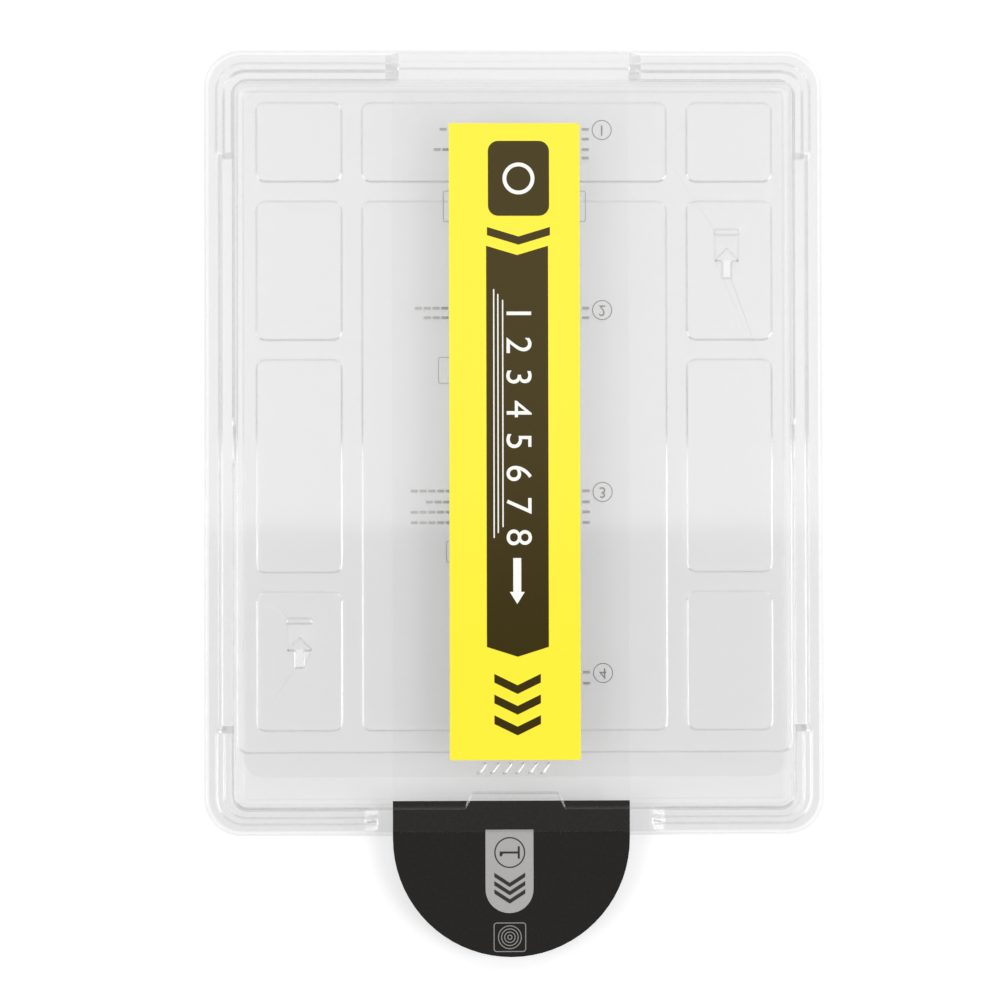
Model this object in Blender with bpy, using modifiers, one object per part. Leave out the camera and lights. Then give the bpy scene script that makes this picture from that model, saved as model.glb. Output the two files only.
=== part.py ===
"""Applicator box for the screen protector of a 13 inch tablet.

Two clear vacuum-formed shells close face to face. Under the roof hang the glass and its films, and a
black tab on a clear strip sticks out at the near end. Pulling it draws the release film off the glass.
X runs across the box, +Y points to the far end, away from the tab, and Z is up. The box lies on the
bottom cover's underside, at Z zero, and the origin is the middle of that underside. All in metres.
"""

import math
from collections import namedtuple

import bmesh
import bpy
from mathutils import Vector

# The tablet that the box lines up with, and the room left round it.
TABLET_WIDTH = 0.2149
TABLET_LENGTH = 0.2806
TABLET_DEPTH = 0.0064
SIDE_FIT = 0.0008
END_FIT = 0.0005

# The plastic sheet of both shells, and the clearances between pieces.
SHEET = 0.0006
SEAT_GAP = 0.0003
LAYER_GAP = 0.0001

# The rim round the cavity.
RIM_SIDE = 0.0125
RIM_FAR = 0.0133
RIM_NEAR = 0.0112
RIM_RADIUS = 0.0145
CAVITY_RADIUS = 0.005
FLANGE_SETBACK = 0.002
BEAD_HEIGHT = 0.0014
LEDGE_HEIGHT = 0.0042
LEDGE_FAR_GAP = 0.0312
LEDGE_NEAR_GAP = 0.0332
RAMP_LENGTH = 0.006
FAR_SPAN = 0.0888
EXIT_SIDE_GAP = 0.0069

# The thumb notch in the near wall, and the bump that centres the tablet on each side.
NOTCH_WIDTH = 0.0325
NOTCH_FLARE = 0.0035
NOTCH_DEPTH = 0.0060
BUMP_LENGTH = 0.0128
BUMP_TAPER = 0.0029
BUMP_DEPTH = 0.0006

# The roof: a low shelf at the near end, a plateau, and panels raised from the plateau.
SHELF_LENGTH = 0.0215
SHELF_LIP = 0.0007
PLATEAU_RADIUS = 0.0042
PLATEAU_STEP = 0.0008
PANEL_STEP = 0.0010
STEP_DRAFT = 0.0004
RIB_WIDTH = 0.0077
COLUMN_RIB_WIDTH = 0.0080
PANEL_RADIUS = 0.0035
SIDE_PANEL_WIDTH = 0.0329

# The raised marks: slanted strokes on the shelf, and a bar with an arrow that points to the far end.
MARK_HEIGHT = 0.0005
MARK_DRAFT = 0.0003
STROKE_COUNT = 6
STROKE_WIDTH = 0.0012
STROKE_LENGTH = 0.0056
STROKE_LEAN = 0.0031
STROKE_PITCH = 0.0049
STROKE_INSET = 0.0066
BAR_WIDTH = 0.0093
BAR_DEPTH = 0.0019
BAR_INSET = 0.0110
ARROW_GAP = 0.0064
ARROW_LENGTH = 0.0116
ARROW_HEAD_LENGTH = 0.0050
ARROW_HEAD_WIDTH = 0.0093
ARROW_SHAFT_WIDTH = 0.0034

# The bottom cover: a tray with a lip outside the flange and a ridge that sits inside the cavity.
LIP_HEIGHT = 0.0024
RIDGE_HEIGHT = 0.0014
RIDGE_INSET = 0.0006
RIDGE_WIDTH = 0.0024
RIDGE_SLOPE = 0.0006

# The glass and its films.
GLASS_SIDE_INSET = 0.0020
GLASS_FAR_INSET = 0.0020
GLASS_NEAR_INSET = 0.0114
GLASS_RADIUS = 0.0080
GLASS_THICKNESS = 0.00033
ADHESIVE_THICKNESS = 0.00015
ADHESIVE_INSET = 0.0005
FILM_THICKNESS = 0.0001
TOP_FILM_INSET = 0.0010
LINER_OVERHANG = 0.0005
PRESS_TRAVEL = 0.0005

# The tapes that hold the glass to the roof.
TAPE_LENGTH = 0.0450
TAPE_WIDTH = 0.0055

# The pull strip, its tab and the tag on the tab.
TAB_WIDTH = 0.0919
TAB_SHIFT = -0.0015
TAB_THICKNESS = 0.0003
TAB_TUCK = 0.0026
TAB_STRAIGHT = 0.0008
STRIP_OVERHANG = 0.0010
STRIP_LAP = 0.0120
TAG_WIDTH = 0.0186
TAG_LENGTH = 0.0323
TAG_SHIFT = -0.0008
TAG_RISE = 0.0034
TAG_THICKNESS = 0.0001

# The guide label on the roof.
LABEL_WIDTH = 0.0507
LABEL_THICKNESS = 0.00025
LABEL_FAR_INSET = 0.0080
LABEL_OVERHANG = 0.0030
LABEL_RADIUS = 0.0004

# Shares across the rim, from the cavity wall at 0 to the outline at 1.
BEAD_SHARES = (0.0, 0.02, 0.10, 0.14, 0.36, 0.42, 0.56, 0.62)
LEDGE_SHARES = (0.0, 0.02, 0.05, 0.09, 0.40, 0.44, 0.50, 0.54)
RAISED_SHARES = (0.0, 0.02, 0.045, 0.08, 0.36, 0.42, 0.56, 0.62)
LIP_SHARES = (0.99, 0.94)

# Other shares: the sheet's bends, the notch's flank as flare and depth, and the panel rows' lengths.
BEND_SHARE = 0.9
NOTCH_SHARES = ((0.0, 0.0), (0.35, 0.2), (0.65, 0.8), (1.0, 1.0))
ROW_SHARES = (0.139, 0.244, 0.374, 0.243)

CORNER_STEPS = 8
PANEL_CORNER_STEPS = 5
TAB_STEPS = 36

# Plan sizes that follow from those above.
CAVITY_WIDTH = TABLET_WIDTH + 2 * SIDE_FIT
CAVITY_LENGTH = TABLET_LENGTH + 2 * END_FIT
BOX_WIDTH = CAVITY_WIDTH + 2 * RIM_SIDE
BOX_LENGTH = CAVITY_LENGTH + RIM_FAR + RIM_NEAR
BOX_FAR = BOX_LENGTH / 2
BOX_NEAR = -BOX_LENGTH / 2
CAVITY_FAR = BOX_FAR - RIM_FAR
CAVITY_NEAR = BOX_NEAR + RIM_NEAR
EXIT_SPAN = TAB_WIDTH + 2 * EXIT_SIDE_GAP
EDGE_SHARE = 1 - FLANGE_SETBACK / RIM_SIDE
BEND = BEND_SHARE * SHEET

# Heights. For the top box they are those of the sheet's underside.
FLANGE_Z = SHEET + SEAT_GAP
TABLET_FACE_Z = FLANGE_Z + TABLET_DEPTH
STRIP_Z = TABLET_FACE_Z + PRESS_TRAVEL
LINER_Z = STRIP_Z + FILM_THICKNESS + LAYER_GAP
ADHESIVE_Z = LINER_Z + FILM_THICKNESS + LAYER_GAP
GLASS_Z = ADHESIVE_Z + ADHESIVE_THICKNESS + LAYER_GAP
TOP_FILM_Z = GLASS_Z + GLASS_THICKNESS + LAYER_GAP
TAPE_Z = TOP_FILM_Z + FILM_THICKNESS + LAYER_GAP
SHELF_Z = TOP_FILM_Z + FILM_THICKNESS + SEAT_GAP
TAB_Z = STRIP_Z + FILM_THICKNESS + LAYER_GAP
TAG_Z = TAB_Z + TAB_THICKNESS + LAYER_GAP
RAISED_Z = TAB_Z + TAB_THICKNESS + SEAT_GAP
LEDGE_Z = FLANGE_Z + LEDGE_HEIGHT
PLATEAU_Z = SHELF_Z + PLATEAU_STEP
PANEL_Z = PLATEAU_Z + PANEL_STEP
LABEL_Z = PANEL_Z + SHEET + LAYER_GAP

# The roof's plan. The panels stop one rib's width short of the plateau's edge, and a little more at
# the near end, where the plateau steps down to the shelf.
PLATEAU_HALF = CAVITY_WIDTH / 2 - SHELF_LIP
PLATEAU_FAR = CAVITY_FAR - SHELF_LIP
PLATEAU_NEAR = CAVITY_NEAR + SHELF_LENGTH
GRID_HALF = PLATEAU_HALF - RIB_WIDTH
GRID_FAR = PLATEAU_FAR - RIB_WIDTH
GRID_NEAR = PLATEAU_NEAR + RIB_WIDTH + PLATEAU_STEP
CENTRE_PANEL_WIDTH = 2 * (GRID_HALF - SIDE_PANEL_WIDTH - COLUMN_RIB_WIDTH)
SIDE_PANEL_X = GRID_HALF - SIDE_PANEL_WIDTH / 2

# The glass's plan.
GLASS_WIDTH = TABLET_WIDTH - 2 * GLASS_SIDE_INSET
GLASS_FAR = CAVITY_FAR - END_FIT - GLASS_FAR_INSET
GLASS_NEAR = CAVITY_NEAR + END_FIT + GLASS_NEAR_INSET

UP = Vector((0, 0, 1))

# A place on the way round the rim: the edge or corner it lies on, where along that edge (at a corner,
# the angle), and how far the flange is raised, widened to a ledge, notched and bumped there, 0 to 1.
Station = namedtuple("Station", "edge along raised ledge notch bump", defaults=(0, 0, 0, 0))


def clear_scene():
    """Removes what a new file holds, so that the script gives the same result each time."""
    for old in list(bpy.data.objects):
        bpy.data.objects.remove(old, do_unlink=True)


def new_collection(name):
    """Makes a collection under the scene."""
    collection = bpy.data.collections.new(name)
    bpy.context.scene.collection.children.link(collection)
    return collection


def new_material(name, colour, roughness, transmission=0.0):
    """Makes a Principled material; these are all plastics, so none is metallic."""
    material = bpy.data.materials.new(name)
    material.use_nodes = True
    material.diffuse_color = colour
    shader = material.node_tree.nodes["Principled BSDF"]
    shader.inputs["Base Color"].default_value = colour
    shader.inputs["Roughness"].default_value = roughness
    shader.inputs["Metallic"].default_value = 0.0
    shader.inputs["Transmission Weight"].default_value = transmission
    return material


def new_empty(name, place, parent=None):
    """Makes the empty that a moving body's pieces are parented to."""
    empty = bpy.data.objects.new(name, None)
    empty.location = place
    empty.parent = parent
    parts.objects.link(empty)
    return empty


def link_part(name, data, material, body, bottom=0.0):
    """Adds one piece under its body's empty, with its origin at the given height in the world."""
    piece = bpy.data.objects.new(name, data)
    piece.data.materials.append(material)
    parts.objects.link(piece)
    piece.location.z = bottom
    if body is not None:
        piece.parent = body
        piece.location -= world_place(body)
    return piece


def world_place(empty):
    """Where an empty stands in the world, adding up its parents' places."""
    place = empty.location.copy()
    while empty.parent is not None:
        empty = empty.parent
        place += empty.location
    return place


def arc(centre, radius, start, end, steps):
    """Points along an arc, in degrees, both ends included."""
    angles = [math.radians(start + (end - start) * i / steps) for i in range(steps + 1)]
    return [(centre[0] + radius * math.cos(a), centre[1] + radius * math.sin(a)) for a in angles]


def rounded_rectangle(left, right, near, far, radius, steps=PANEL_CORNER_STEPS):
    """Points round a rectangle with rounded corners, anticlockwise from its near right corner."""
    centres = (
        (right - radius, near + radius),
        (right - radius, far - radius),
        (left + radius, far - radius),
        (left + radius, near + radius),
    )
    points = []
    for turn, centre in enumerate(centres):
        points += arc(centre, radius, 90 * turn - 90, 90 * turn, steps)
    return points


def shrink(points, distance):
    """Moves every side of an anticlockwise outline inwards by a distance."""
    moved = []
    for i, point in enumerate(points):
        here = Vector(point)
        before = (here - Vector(points[i - 1])).normalized()
        after = (Vector(points[(i + 1) % len(points)]) - here).normalized()
        normals = [Vector((-side.y, side.x)) for side in (before, after)]
        middle = (normals[0] + normals[1]).normalized()
        moved.append(tuple(here + middle * distance / middle.dot(normals[0])))
    return moved


def flat_piece(name, outline, bottom, thickness, material, body):
    """Makes a flat piece: a filled 2D outline with an extrude of half its thickness."""
    curve = bpy.data.curves.new(name, "CURVE")
    curve.dimensions = "2D"
    curve.fill_mode = "BOTH"
    curve.extrude = thickness / 2
    spline = curve.splines.new("POLY")
    spline.points.add(len(outline) - 1)
    for point, (x, y) in zip(spline.points, outline):
        point.co = (x, y, 0, 1)
    spline.use_cyclic_u = True
    return link_part(name, curve, material, body, bottom + thickness / 2)


def mirrored(half):
    """Both halves of an edge, from rows that start with a distance from the middle, largest first."""
    there = [(-row[0], *row[1:]) for row in half]
    back = [tuple(row) for row in reversed(half)]
    return there + back


def rim_stations():
    """The stations round the rim, anticlockwise, starting along the near edge."""
    near = [(EXIT_SPAN / 2 + RAMP_LENGTH, 0, 0), (EXIT_SPAN / 2, 1, 0)]
    for flare_share, depth_share in NOTCH_SHARES:
        near.append((NOTCH_WIDTH / 2 + NOTCH_FLARE * (1 - flare_share), 1, depth_share))
    ledge_near = CAVITY_NEAR + LEDGE_NEAR_GAP
    ledge_far = CAVITY_FAR - LEDGE_FAR_GAP
    side = [(ledge_near - RAMP_LENGTH, 0, 0), (ledge_near, 1, 0)]
    side += mirrored([(BUMP_LENGTH / 2 + BUMP_TAPER, 1, 0), (BUMP_LENGTH / 2, 1, 1)])
    side += [(ledge_far, 1, 0), (ledge_far + RAMP_LENGTH, 0, 0)]
    far = [(FAR_SPAN / 2 + RAMP_LENGTH, 0), (FAR_SPAN / 2, 1)]
    stations = [Station("near", x, raised=r, notch=n) for x, r, n in mirrored(near)]
    stations += corner_stations("near right", -90)
    stations += [Station("right", y, ledge=l, bump=b) for y, l, b in side]
    stations += corner_stations("far right", 0)
    stations += [Station("far", -x, raised=r) for x, r in mirrored(far)]
    stations += corner_stations("far left", 90)
    stations += [Station("left", y, ledge=l, bump=b) for y, l, b in reversed(side)]
    stations += corner_stations("near left", 180)
    return stations


def corner_stations(corner, start):
    """The stations round one corner, by angle."""
    return [Station(corner, start + 90 * i / CORNER_STEPS) for i in range(CORNER_STEPS + 1)]


def rim_place(station, share, inset=0.0):
    """The plan position at a share across the rim, moved inwards by an inset."""
    half = CAVITY_WIDTH / 2 + share * RIM_SIDE - inset
    far = CAVITY_FAR + share * RIM_FAR - inset
    near = CAVITY_NEAR - share * RIM_NEAR + inset
    if station.edge == "near":
        return station.along, near
    if station.edge == "far":
        return station.along, far
    if station.edge == "right":
        return half, station.along
    if station.edge == "left":
        return -half, station.along
    radius = CAVITY_RADIUS + share * (RIM_RADIUS - CAVITY_RADIUS) - min(inset, CAVITY_RADIUS / 2)
    angle = math.radians(station.along)
    middle_x = half - radius if "right" in station.edge else radius - half
    middle_y = far - radius if "far" in station.edge else near + radius
    return middle_x + radius * math.cos(angle), middle_y + radius * math.sin(angle)


def blend(rows, weights):
    """The weighted mean of rows of (share, height) pairs."""
    return [
        tuple(sum(w * row[i][k] for w, row in zip(weights, rows)) for k in range(2))
        for i in range(len(rows[0]))
    ]


def rim_section(station):
    """The top box's section at a station, as (share, height) pairs from the roof to the edge."""
    bead_top = FLANGE_Z + BEAD_HEIGHT
    step = SHELF_Z - RAISED_Z
    bead_heights = (
        SHELF_Z, SHELF_Z - BEND, FLANGE_Z + BEND, FLANGE_Z, FLANGE_Z, bead_top, bead_top, FLANGE_Z,
    )
    ledge_heights = (
        SHELF_Z, SHELF_Z - BEND, LEDGE_Z + BEND, LEDGE_Z,
        LEDGE_Z, LEDGE_Z - BEND, FLANGE_Z + BEND, FLANGE_Z,
    )
    raised_heights = (SHELF_Z, RAISED_Z + step / 2) + (RAISED_Z,) * (len(RAISED_SHARES) - 2)
    rows = [
        list(zip(BEAD_SHARES, bead_heights)) + [(EDGE_SHARE, FLANGE_Z)],
        list(zip(LEDGE_SHARES, ledge_heights)) + [(EDGE_SHARE, FLANGE_Z)],
        list(zip(RAISED_SHARES, raised_heights)) + [(EDGE_SHARE, RAISED_Z)],
    ]
    weights = (1 - station.ledge - station.raised, station.ledge, station.raised)
    return blend(rows, weights)


def add_ring(mesh, points):
    """Adds a ring of points, each (x, y, z), and returns its vertices."""
    return [mesh.verts.new(point) for point in points]


def level_ring(mesh, outline, height):
    """Adds a ring at one height."""
    return add_ring(mesh, [(x, y, height) for x, y in outline])


def join_rings(mesh, inner, outer):
    """Lofts between two rings with as many points, facing up or outwards."""
    for i, vertex in enumerate(inner):
        j = (i + 1) % len(inner)
        mesh.faces.new((vertex, outer[i], outer[j], inner[j]))


def fill_level(mesh, outline, holes=()):
    """Fills a level ring with triangles, leaving out the rings inside it."""
    edges = []
    for ring in (outline, *holes):
        for i, vertex in enumerate(ring):
            other = ring[(i + 1) % len(ring)]
            edges.append(mesh.edges.get((vertex, other)) or mesh.edges.new((vertex, other)))
    filled = bmesh.ops.triangle_fill(mesh, edges=edges, use_beauty=True, normal=UP)
    faces = [f for f in filled["geom"] if isinstance(f, bmesh.types.BMFace)]
    for face in faces:
        face.normal_update()
    bmesh.ops.reverse_faces(mesh, faces=[f for f in faces if f.normal.z < 0])


def raise_step(mesh, outline, height, step, draft):
    """Adds a sloped step up from an outline, and returns its foot ring and its top ring."""
    foot = level_ring(mesh, outline, height)
    top = level_ring(mesh, shrink(outline, draft), height + step)
    join_rings(mesh, top, foot)
    return foot, top


def raise_mark(mesh, outline, height):
    """Adds a raised mark with a flat top, and returns its foot ring."""
    foot, top = raise_step(mesh, outline, height, MARK_HEIGHT, MARK_DRAFT)
    fill_level(mesh, top)
    return foot


def raise_arrow(mesh, x, bar_y, height):
    """Adds the bar and the arrow that points to the far end, and returns their foot rings."""
    bar = [
        (x - BAR_WIDTH / 2, bar_y - BAR_DEPTH / 2),
        (x + BAR_WIDTH / 2, bar_y - BAR_DEPTH / 2),
        (x + BAR_WIDTH / 2, bar_y + BAR_DEPTH / 2),
        (x - BAR_WIDTH / 2, bar_y + BAR_DEPTH / 2),
    ]
    tip = bar_y - ARROW_GAP
    neck = tip - ARROW_HEAD_LENGTH
    foot = tip - ARROW_LENGTH
    arrow = [
        (x, tip),
        (x - ARROW_HEAD_WIDTH / 2, neck),
        (x - ARROW_SHAFT_WIDTH / 2, neck),
        (x - ARROW_SHAFT_WIDTH / 2, foot),
        (x + ARROW_SHAFT_WIDTH / 2, foot),
        (x + ARROW_SHAFT_WIDTH / 2, neck),
        (x + ARROW_HEAD_WIDTH / 2, neck),
    ]
    return [raise_mark(mesh, bar, height), raise_mark(mesh, arrow, height)]


def raise_strokes(mesh):
    """Adds the row of slanted strokes on the shelf, and returns their foot rings."""
    feet = []
    far_y = PLATEAU_NEAR - STROKE_INSET / 2
    near_y = far_y - STROKE_LENGTH
    for i in range(STROKE_COUNT):
        x = (i - (STROKE_COUNT - 1) / 2) * STROKE_PITCH
        stroke = [
            (x - STROKE_LEAN / 2 - STROKE_WIDTH / 2, near_y),
            (x - STROKE_LEAN / 2 + STROKE_WIDTH / 2, near_y),
            (x + STROKE_LEAN / 2 + STROKE_WIDTH / 2, far_y),
            (x + STROKE_LEAN / 2 - STROKE_WIDTH / 2, far_y),
        ]
        feet.append(raise_mark(mesh, stroke, SHELF_Z))
    return feet


def panel_rows():
    """The near and far edges of the panel rows, from the far row to the near one."""
    room = GRID_FAR - GRID_NEAR - RIB_WIDTH * (len(ROW_SHARES) - 1)
    rows = []
    far = GRID_FAR
    for share in ROW_SHARES:
        near = far - share / sum(ROW_SHARES) * room
        rows.append((near, far))
        far = near - RIB_WIDTH
    return rows


def panel_outlines():
    """The outlines of the roof's raised panels: four down each side, a short and a long one between."""
    rows = panel_rows()
    outlines = []
    for x in (-SIDE_PANEL_X, SIDE_PANEL_X):
        for near, far in rows:
            left, right = x - SIDE_PANEL_WIDTH / 2, x + SIDE_PANEL_WIDTH / 2
            outlines.append(rounded_rectangle(left, right, near, far, PANEL_RADIUS))
    for near, far in (rows[0], (rows[-1][0], rows[1][1])):
        left, right = -CENTRE_PANEL_WIDTH / 2, CENTRE_PANEL_WIDTH / 2
        outlines.append(rounded_rectangle(left, right, near, far, PANEL_RADIUS))
    return outlines


def finish_shell(name, mesh, material, body):
    """Turns an open surface into a shell of one sheet's thickness, thickened upwards."""
    data = bpy.data.meshes.new(name)
    mesh.normal_update()
    mesh.to_mesh(data)
    mesh.free()
    shell = link_part(name, data, material, body)
    solidify = shell.modifiers.new("Sheet", "SOLIDIFY")
    solidify.thickness = SHEET
    solidify.offset = 1
    solidify.use_even_offset = True
    solidify.use_quality_normals = True
    return shell


def build_top_box(material, body):
    """The top shell: its roof with shelf, plateau and panels, its walls and its flange."""
    mesh = bmesh.new()
    stations = rim_stations()
    sections = [rim_section(station) for station in stations]
    rings = []
    for i in range(len(sections[0])):
        points = []
        for station, section in zip(stations, sections):
            share, height = section[i]
            on_wall = i < len(BEAD_SHARES) / 2
            between = 0 < i < len(BEAD_SHARES) / 2 - 1
            inset = NOTCH_DEPTH * station.notch * on_wall + BUMP_DEPTH * station.bump * between
            points.append((*rim_place(station, share, inset), height))
        rings.append(add_ring(mesh, points))
    for inner, outer in zip(rings, rings[1:]):
        join_rings(mesh, inner, outer)
    plateau = rounded_rectangle(
        -PLATEAU_HALF, PLATEAU_HALF, PLATEAU_NEAR, PLATEAU_FAR, PLATEAU_RADIUS, CORNER_STEPS
    )
    plateau_foot, plateau_top = raise_step(mesh, plateau, SHELF_Z, PLATEAU_STEP, STEP_DRAFT)
    fill_level(mesh, rings[0], [plateau_foot, *raise_strokes(mesh)])
    panel_feet = []
    for i, outline in enumerate(panel_outlines()):
        foot, top = raise_step(mesh, outline, PLATEAU_Z, PANEL_STEP, STEP_DRAFT)
        panel_feet.append(foot)
        marks = []
        if i == len(ROW_SHARES) - 1:
            marks = raise_arrow(mesh, -SIDE_PANEL_X, panel_rows()[-1][1] - BAR_INSET, PANEL_Z)
        fill_level(mesh, top, marks)
    fill_level(mesh, plateau_top, panel_feet)
    return finish_shell("top_box", mesh, material, body)


def build_bottom_cover(material, body):
    """The bottom shell: a flat tray with a lip round it and a ridge inside the cavity's wall."""
    mesh = bmesh.new()
    stations = rim_stations()
    inner = RIDGE_INSET + RIDGE_WIDTH
    lip_foot_share, floor_share = LIP_SHARES
    rows = (
        (0, inner, 0.0),
        (0, inner - RIDGE_SLOPE, RIDGE_HEIGHT),
        (0, RIDGE_INSET + RIDGE_SLOPE, RIDGE_HEIGHT),
        (0, RIDGE_INSET, 0.0),
        (floor_share, 0.0, 0.0),
        (lip_foot_share, 0.0, BEND),
        (1, 0.0, LIP_HEIGHT),
    )
    rings = [
        add_ring(mesh, [(*rim_place(station, share, inset), height) for station in stations])
        for share, inset, height in rows
    ]
    for ring, outer in zip(rings, rings[1:]):
        join_rings(mesh, ring, outer)
    marks = raise_arrow(mesh, SIDE_PANEL_X, panel_rows()[1][1] - BAR_INSET, 0.0)
    fill_level(mesh, rings[0], marks)
    return finish_shell("bottom_cover", mesh, material, body)


def glass_outline(grow):
    """The glass's outline, grown on every side."""
    return rounded_rectangle(
        -GLASS_WIDTH / 2 - grow, GLASS_WIDTH / 2 + grow, GLASS_NEAR - grow, GLASS_FAR + grow,
        GLASS_RADIUS + grow, CORNER_STEPS,
    )


def build_glass(materials, body):
    """The tempered glass with its adhesive and its two films, one above the other."""
    layers = (
        ("release_liner", LINER_OVERHANG, LINER_Z, FILM_THICKNESS, materials["film"]),
        ("glass_adhesive", -ADHESIVE_INSET, ADHESIVE_Z, ADHESIVE_THICKNESS, materials["adhesive"]),
        ("tempered_glass", 0.0, GLASS_Z, GLASS_THICKNESS, materials["glass"]),
        ("glass_top_film", -TOP_FILM_INSET, TOP_FILM_Z, FILM_THICKNESS, materials["film"]),
    )
    for name, grow, bottom, thickness, material in layers:
        flat_piece(name, glass_outline(grow), bottom, thickness, material, body)


def build_tapes(material, body):
    """The two tapes between the glass's top film and the plateau, under the label."""
    thickness = PLATEAU_Z - LAYER_GAP - TAPE_Z
    places = {"holding_tape_far": panel_rows()[0][0] - RIB_WIDTH / 2, "holding_tape_near": GRID_NEAR - RIB_WIDTH / 2}
    for name, y in places.items():
        left, right = -TAPE_LENGTH / 2, TAPE_LENGTH / 2
        near, far = y - TAPE_WIDTH / 2, y + TAPE_WIDTH / 2
        outline = rounded_rectangle(left, right, near, far, TAPE_WIDTH / 4, 2)
        flat_piece(name, outline, TAPE_Z, thickness, material, body)


def build_pull_strip(materials, body):
    """The clear strip under the release liner, the black half-round tab and the tag on it."""
    left, right = TAB_SHIFT - TAB_WIDTH / 2, TAB_SHIFT + TAB_WIDTH / 2
    tab_inner = CAVITY_NEAR + TAB_TUCK
    strip_far = GLASS_FAR + LINER_OVERHANG + STRIP_OVERHANG
    strip = [(left, tab_inner - STRIP_LAP), (right, tab_inner - STRIP_LAP), (right, strip_far), (left, strip_far)]
    flat_piece("pull_strip", strip, STRIP_Z, FILM_THICKNESS, materials["film"], body)
    centre = (TAB_SHIFT, BOX_NEAR - TAB_STRAIGHT)
    tab = arc(centre, TAB_WIDTH / 2, 180, 360, TAB_STEPS)
    tab += [(right, tab_inner), (left, tab_inner)]
    flat_piece("pull_tab", tab, TAB_Z, TAB_THICKNESS, materials["tab"], body)
    tag_x = TAB_SHIFT + TAG_SHIFT
    tag_far = centre[1] + TAG_RISE
    tag_centre = (tag_x, tag_far - TAG_LENGTH + TAG_WIDTH / 2)
    tag = arc(tag_centre, TAG_WIDTH / 2, 180, 360, TAB_STEPS // 2)
    tag += [(tag_x + TAG_WIDTH / 2, tag_far), (tag_x - TAG_WIDTH / 2, tag_far)]
    flat_piece("tab_tag", tag, TAG_Z, TAG_THICKNESS, materials["tag"], body)


def build_guide_label(material, body):
    """The label along the middle of the roof, which the thumb follows to press the glass down."""
    outline = rounded_rectangle(
        -LABEL_WIDTH / 2, LABEL_WIDTH / 2, PLATEAU_NEAR - LABEL_OVERHANG, GRID_FAR - LABEL_FAR_INSET,
        LABEL_RADIUS, 1,
    )
    flat_piece("guide_label", outline, LABEL_Z, LABEL_THICKNESS, material, body)


clear_scene()
parts = new_collection("screen_protector_applicator_box")
materials = {
    "shell": new_material("clear_sheet", (0.90, 0.91, 0.91, 1), 0.08, 0.95),
    "glass": new_material("tempered_glass", (0.86, 0.92, 0.90, 1), 0.02, 0.98),
    "adhesive": new_material("clear_adhesive", (0.90, 0.92, 0.92, 1), 0.25, 0.90),
    "film": new_material("clear_film", (0.90, 0.91, 0.92, 1), 0.15, 0.90),
    "tape": new_material("clear_foam_tape", (0.88, 0.89, 0.88, 1), 0.40, 0.70),
    "tab": new_material("black_film", (0.020, 0.017, 0.015, 1), 0.25),
    "tag": new_material("silver_label", (0.33, 0.33, 0.32, 1), 0.35),
    "label": new_material("yellow_label", (1.0, 0.90, 0.09, 1), 0.30),
}
top_body = new_empty("top_body", (0, 0, FLANGE_Z))
glass_body = new_empty("glass_body", (0, 0, GLASS_Z - FLANGE_Z), top_body)
strip_body = new_empty("strip_body", (0, BOX_NEAR, STRIP_Z - GLASS_Z), glass_body)
build_bottom_cover(materials["shell"], None)
build_top_box(materials["shell"], top_body)
build_glass(materials, glass_body)
build_tapes(materials["tape"], top_body)
build_pull_strip(materials, strip_body)
build_guide_label(materials["label"], top_body)
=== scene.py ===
# %% [markdown]
# # A clear applicator box for a tablet's glass
# The real object is a flat box of two clear vacuum-formed shells. Under its roof hangs a sheet of
# glass with its films, a yellow label runs down the roof, and a black half-round tab sticks out of
# the near end. The CAD model fixes every size and every joint. This lesson gives the pieces their
# looks: it forms the two shells again with the soft bends of a moulded sheet, prints the label, the
# tab and the strip, and then sets up the floor, the lamps and the camera.

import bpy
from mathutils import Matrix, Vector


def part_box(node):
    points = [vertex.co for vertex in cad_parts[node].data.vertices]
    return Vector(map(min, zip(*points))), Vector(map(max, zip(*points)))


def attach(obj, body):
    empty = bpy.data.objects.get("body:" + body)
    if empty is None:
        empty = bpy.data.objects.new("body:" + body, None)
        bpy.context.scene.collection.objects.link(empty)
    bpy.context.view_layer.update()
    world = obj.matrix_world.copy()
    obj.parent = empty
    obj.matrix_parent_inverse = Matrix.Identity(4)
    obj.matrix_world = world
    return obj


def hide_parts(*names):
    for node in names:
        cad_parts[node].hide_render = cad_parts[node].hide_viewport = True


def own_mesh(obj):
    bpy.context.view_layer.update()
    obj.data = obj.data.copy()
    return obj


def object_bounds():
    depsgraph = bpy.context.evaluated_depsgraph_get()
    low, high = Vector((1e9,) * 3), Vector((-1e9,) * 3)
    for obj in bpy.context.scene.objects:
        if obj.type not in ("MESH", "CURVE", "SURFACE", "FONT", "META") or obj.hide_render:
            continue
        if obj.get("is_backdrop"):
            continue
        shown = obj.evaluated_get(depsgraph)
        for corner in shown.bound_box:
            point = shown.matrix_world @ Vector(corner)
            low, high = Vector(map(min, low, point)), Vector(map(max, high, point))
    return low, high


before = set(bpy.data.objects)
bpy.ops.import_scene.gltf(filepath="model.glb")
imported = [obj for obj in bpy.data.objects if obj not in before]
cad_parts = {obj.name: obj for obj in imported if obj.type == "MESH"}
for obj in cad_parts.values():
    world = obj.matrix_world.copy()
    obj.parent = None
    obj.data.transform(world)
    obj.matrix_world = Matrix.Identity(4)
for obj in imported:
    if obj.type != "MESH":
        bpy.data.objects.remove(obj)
cad_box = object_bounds()
print("CAD nodes:", ", ".join(sorted(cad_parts)))

# %% Python's and Blender's own modules
import math
from collections import namedtuple

import bmesh
import bpy
from mathutils import Vector

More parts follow.
